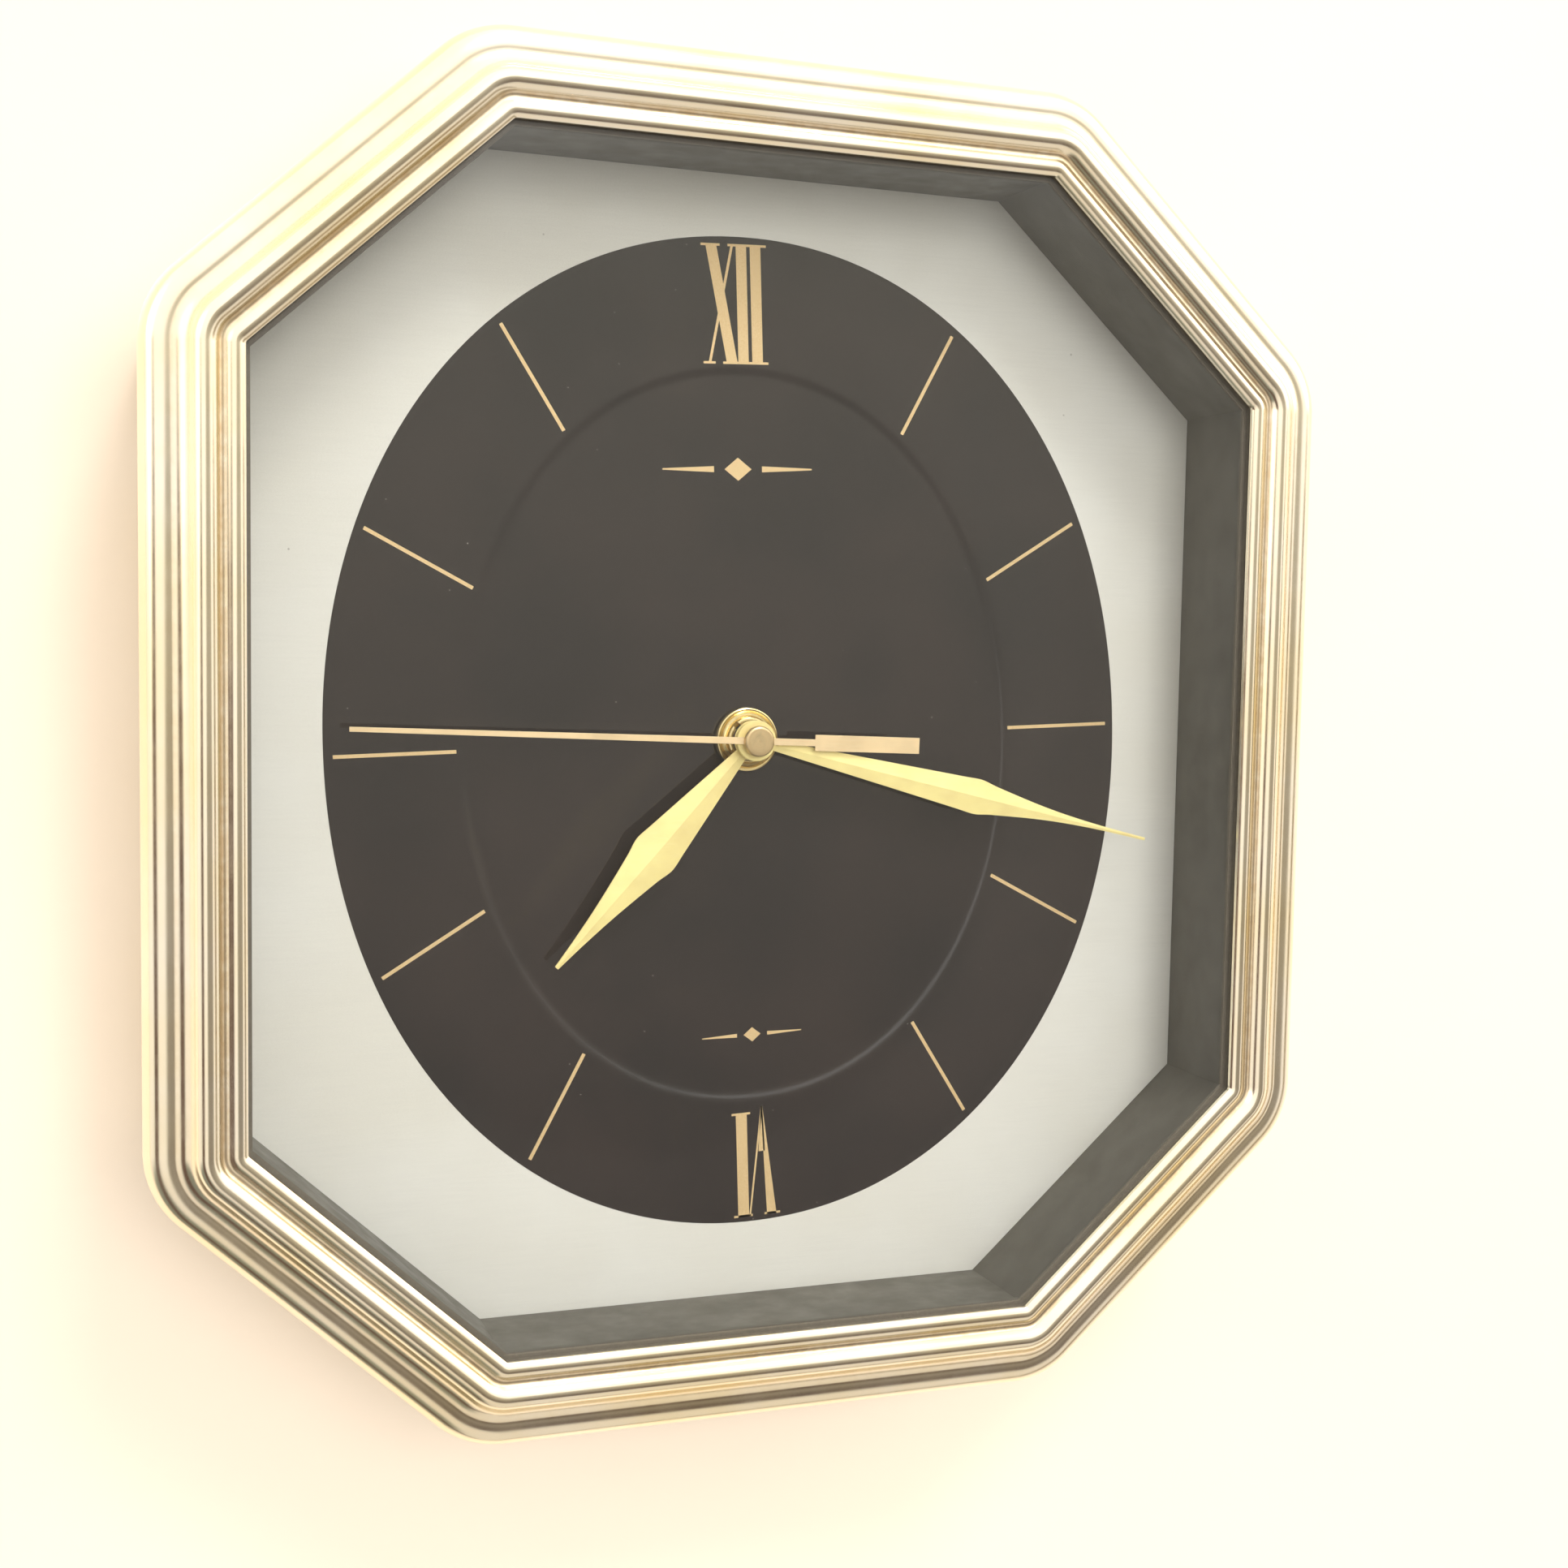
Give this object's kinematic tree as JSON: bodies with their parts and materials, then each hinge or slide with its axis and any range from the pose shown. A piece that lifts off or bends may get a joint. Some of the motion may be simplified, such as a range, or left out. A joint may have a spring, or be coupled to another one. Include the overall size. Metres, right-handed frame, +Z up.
{
  "type": "wall clock",
  "caption": "Octagonal quartz wall clock with a deep gold-plated moulded frame, flat glass, silver dial with a black oval and creased gold hands.",
  "frame": {"origin": "where the wall screw's axis meets the wall, at the round top of the hanger plate's slot", "axes": "+X to the right of someone facing the dial, +Y into the wall, +Z up; the wall is the plane y = 0 and the dial faces -Y"},
  "size_m": [0.2284, 0.0498, 0.2548],
  "materials": {
    "frame_gold": "polished",
    "glass": "polished",
    "seal_rubber": "matte",
    "ring_anthracite": "matte",
    "dial_silver": "satin",
    "dial_black": "gloss",
    "print_gold": "satin",
    "back_brown": "matte",
    "screw_steel": "satin",
    "hanger_steel": "satin",
    "contact_steel": "gloss",
    "movement_black": "matte",
    "gear_white": "satin",
    "nut_brass": "polished",
    "coil_copper": "gloss",
    "board_green": "satin",
    "battery_jacket": "gloss",
    "rotor_magnet": "satin",
    "hand_gold": "satin"
  },
  "bodies": {
    "case": {"front_bezel": "frame_gold", "front_glass": "glass", "glass_seal": "seal_rubber", "sight_ring": "ring_anthracite", "dial_plate": "dial_silver", "back_case": "back_brown", "case_screw_1": "screw_steel", "case_screw_2": "screw_steel", "case_screw_3": "screw_steel", "case_screw_4": "screw_steel", "case_screw_5": "screw_steel", "case_screw_6": "screw_steel", "case_screw_7": "screw_steel", "case_screw_8": "screw_steel", "hanger_plate": "hanger_steel", "hanger_screw_1": "screw_steel", "hanger_screw_2": "screw_steel", "wall_bumper_1": "seal_rubber", "wall_bumper_2": "seal_rubber", "movement_base": "movement_black", "movement_cover": "movement_black", "train_plate": "gear_white", "seal_washer": "seal_rubber", "fixing_washer": "nut_brass", "fixing_nut": "nut_brass", "stator": "hanger_steel", "coil": "coil_copper", "circuit_board": "board_green", "driver_chip": "movement_black", "quartz_crystal": "screw_steel", "battery_contact_minus": "contact_steel", "battery_contact_plus": "contact_steel"},
    "seconds": {"second_hand": "hand_gold", "second_hand_cap": "hand_gold", "seconds_wheel": "gear_white"},
    "minutes": {"minute_hand": "hand_gold", "cannon_pinion": "nut_brass"},
    "hours": {"hour_hand": "hand_gold", "hour_wheel": "gear_white"},
    "rotor": {"rotor": "rotor_magnet"},
    "intermediate": {"intermediate_wheel": "gear_white"},
    "third": {"third_wheel": "gear_white"},
    "centre": {"centre_wheel": "gear_white"},
    "motion": {"motion_wheel": "gear_white"},
    "knob": {"setting_knob": "gear_white"},
    "cell": {"battery": "battery_jacket"}
  },
  "joints": [
    {"name": "second_hand_turn", "type": "hinge", "parent": "case", "child": "seconds", "pos_m": [0, -0.03, -0.07355], "axis": [0, 1, 0], "continuous": true},
    {"name": "rotor_turn", "type": "hinge", "parent": "case", "child": "rotor", "pos_m": [0.00319, -0.008, -0.06137], "axis": [0, 1, 0], "continuous": true},
    {"name": "intermediate_turn", "type": "hinge", "parent": "case", "child": "intermediate", "pos_m": [-0.00155, -0.008, -0.06652], "axis": [0, 1, 0], "continuous": true},
    {"name": "third_turn", "type": "hinge", "parent": "case", "child": "third", "pos_m": [0.00717, -0.015, -0.069], "axis": [0, 1, 0], "continuous": true},
    {"name": "centre_turn", "type": "hinge", "parent": "case", "child": "centre", "pos_m": [0, -0.0145, -0.07355], "axis": [0, 1, 0], "continuous": true},
    {"name": "minute_hand_turn", "type": "hinge", "parent": "case", "child": "minutes", "pos_m": [0, -0.028, -0.07355], "axis": [0, 1, 0], "continuous": true},
    {"name": "hour_hand_turn", "type": "hinge", "parent": "case", "child": "hours", "pos_m": [0, -0.026, -0.07355], "axis": [0, 1, 0], "continuous": true},
    {"name": "motion_turn", "type": "hinge", "parent": "case", "child": "motion", "pos_m": [-0.00899, -0.015, -0.07393], "axis": [0, 1, 0], "continuous": true},
    {"name": "setting_knob_turn", "type": "hinge", "parent": "case", "child": "knob", "pos_m": [-0.01562, -0.003, -0.06784], "axis": [0, 1, 0], "continuous": true},
    {"name": "cell_lift", "type": "slide", "parent": "case", "child": "cell", "axis": [0, 1, 0], "range_m": [0, 0.018]}
  ],
  "couplings": [
    {"joint": "intermediate_turn", "follows": "second_hand_turn", "ratio": -5},
    {"joint": "rotor_turn", "follows": "second_hand_turn", "ratio": 30},
    {"joint": "third_turn", "follows": "second_hand_turn", "ratio": -0.13333},
    {"joint": "centre_turn", "follows": "second_hand_turn", "ratio": 0.016667},
    {"joint": "motion_turn", "follows": "minute_hand_turn", "ratio": -0.33333},
    {"joint": "hour_hand_turn", "follows": "minute_hand_turn", "ratio": 0.083333},
    {"joint": "setting_knob_turn", "follows": "minute_hand_turn", "ratio": 1}
  ]
}
